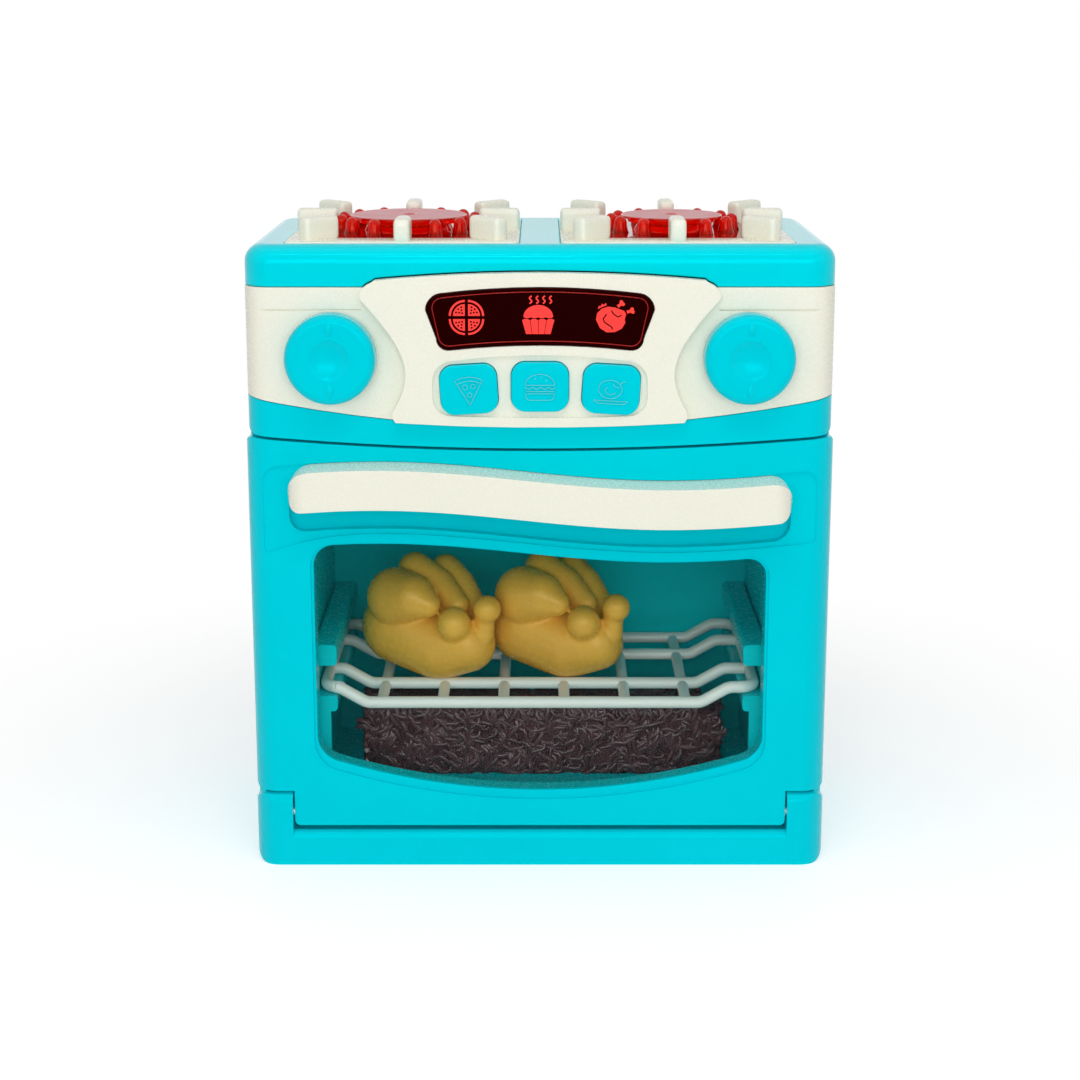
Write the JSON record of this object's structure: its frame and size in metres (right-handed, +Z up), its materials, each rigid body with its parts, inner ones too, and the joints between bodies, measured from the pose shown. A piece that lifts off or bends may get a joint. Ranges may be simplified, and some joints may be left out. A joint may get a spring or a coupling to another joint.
{
  "type": "toy oven",
  "caption": "Toy oven with a drop-down window door, wavy cup handle, turning knobs, push buttons, a hob with clear burners, and a rack with play food over a bed of embers.",
  "frame": {"origin": "middle of the footprint, on the table surface under the base", "axes": "+X to the right seen from the front, +Y towards the back, +Z up"},
  "size_m": [0.21, 0.1172, 0.2378],
  "materials": {
    "cyan_shell": "turquoise moulded plastic, gloss on the hob cap and satin elsewhere",
    "cream_panel": "cream moulded plastic, satin",
    "clear_red": "clear red moulded plastic",
    "lens_red": "dark red clear plastic",
    "window_clear": "clear plastic",
    "ember": "moulded plastic with a lumpy surface",
    "food": "golden-brown moulded plastic",
    "rack_coat": "white moulded plastic",
    "screw_steel": "zinc plated",
    "board_green": "printed circuit board",
    "lamp_red": "lamp body",
    "lamp_white": "lamp board and lamps",
    "rubber_pad": "contact pad",
    "black_plastic": "black moulded plastic",
    "cell_grey": "plain cell casing"
  },
  "bodies": {
    "cabinet": {"base_plinth": "cyan_shell", "base_plate": "cyan_shell", "base_screws": "screw_steel", "cabinet_shell": "cyan_shell", "oven_liner": "cyan_shell", "rack_guide_left": "cyan_shell", "rack_guide_right": "cyan_shell", "ember_bed": "ember", "ember_lamp": "lamp_white", "control_housing": "cyan_shell", "housing_screws": "screw_steel", "fascia_panel": "cream_panel", "centre_plate": "cream_panel", "display_lens": "lens_red", "circuit_board": "board_green", "board_screws": "screw_steel", "led_lamps": "lamp_red", "button_pad": "rubber_pad", "speaker": "black_plastic", "battery_box": "black_plastic", "batteries": "cell_grey", "battery_contacts": "screw_steel", "battery_cover": "cyan_shell", "battery_cover_screw": "screw_steel", "switch_body": "black_plastic", "hob_cap": "cyan_shell", "hob_tray_left": "cream_panel", "hob_tray_right": "cream_panel", "burner_left": "clear_red", "burner_right": "clear_red", "burner_lamps": "lamp_white"},
    "door": {"door_shell": "cyan_shell", "door_inner_frame": "cyan_shell", "door_screws": "screw_steel", "window_pane": "window_clear", "door_handle": "cream_panel", "handle_screws": "screw_steel", "hinge_pins": "screw_steel"},
    "knob_left": {"knob_left": "cyan_shell", "knob_screw_left": "screw_steel"},
    "knob_right": {"knob_right": "cyan_shell", "knob_screw_right": "screw_steel"},
    "button_left": {"button_left": "cyan_shell"},
    "button_middle": {"button_middle": "cyan_shell"},
    "button_right": {"button_right": "cyan_shell"},
    "power_switch": {"power_switch": "black_plastic"},
    "rack": {"rack": "rack_coat"},
    "chicken_left": {"chicken_left": "food"},
    "chicken_right": {"chicken_right": "food"}
  },
  "joints": [
    {"name": "door_hinge", "type": "hinge", "parent": "cabinet", "child": "door", "pos_m": [0, -0.047, 0.019], "axis": [1, 0, 0], "range_deg": [0, 90]},
    {"name": "knob_left_turn", "type": "hinge", "parent": "cabinet", "child": "knob_left", "pos_m": [-0.0731, -0.05, 0.1905], "axis": [0, 1, 0], "continuous": true},
    {"name": "knob_right_turn", "type": "hinge", "parent": "cabinet", "child": "knob_right", "pos_m": [0.0731, -0.05, 0.1905], "axis": [0, 1, 0], "continuous": true},
    {"name": "button_left_press", "type": "slide", "parent": "cabinet", "child": "button_left", "axis": [0, 1, 0], "range_m": [0, 0.002], "stiffness_N_per_m": 300, "springref_m": -0.0005},
    {"name": "button_middle_press", "type": "slide", "parent": "cabinet", "child": "button_middle", "axis": [0, 1, 0], "range_m": [0, 0.002], "stiffness_N_per_m": 300, "springref_m": -0.0005},
    {"name": "button_right_press", "type": "slide", "parent": "cabinet", "child": "button_right", "axis": [0, 1, 0], "range_m": [0, 0.002], "stiffness_N_per_m": 300, "springref_m": -0.0005},
    {"name": "power_switch_slide", "type": "slide", "parent": "cabinet", "child": "power_switch", "axis": [1, 0, 0], "range_m": [0, 0.004]},
    {"name": "rack_slide", "type": "slide", "parent": "cabinet", "child": "rack", "axis": [0, -1, 0], "range_m": [0, 0.0013]},
    {"name": "chicken_left_lift", "type": "slide", "parent": "rack", "child": "chicken_left", "axis": [0, 0, 1], "range_m": [0, 0.025]},
    {"name": "chicken_right_lift", "type": "slide", "parent": "rack", "child": "chicken_right", "axis": [0, 0, 1], "range_m": [0, 0.025]}
  ]
}
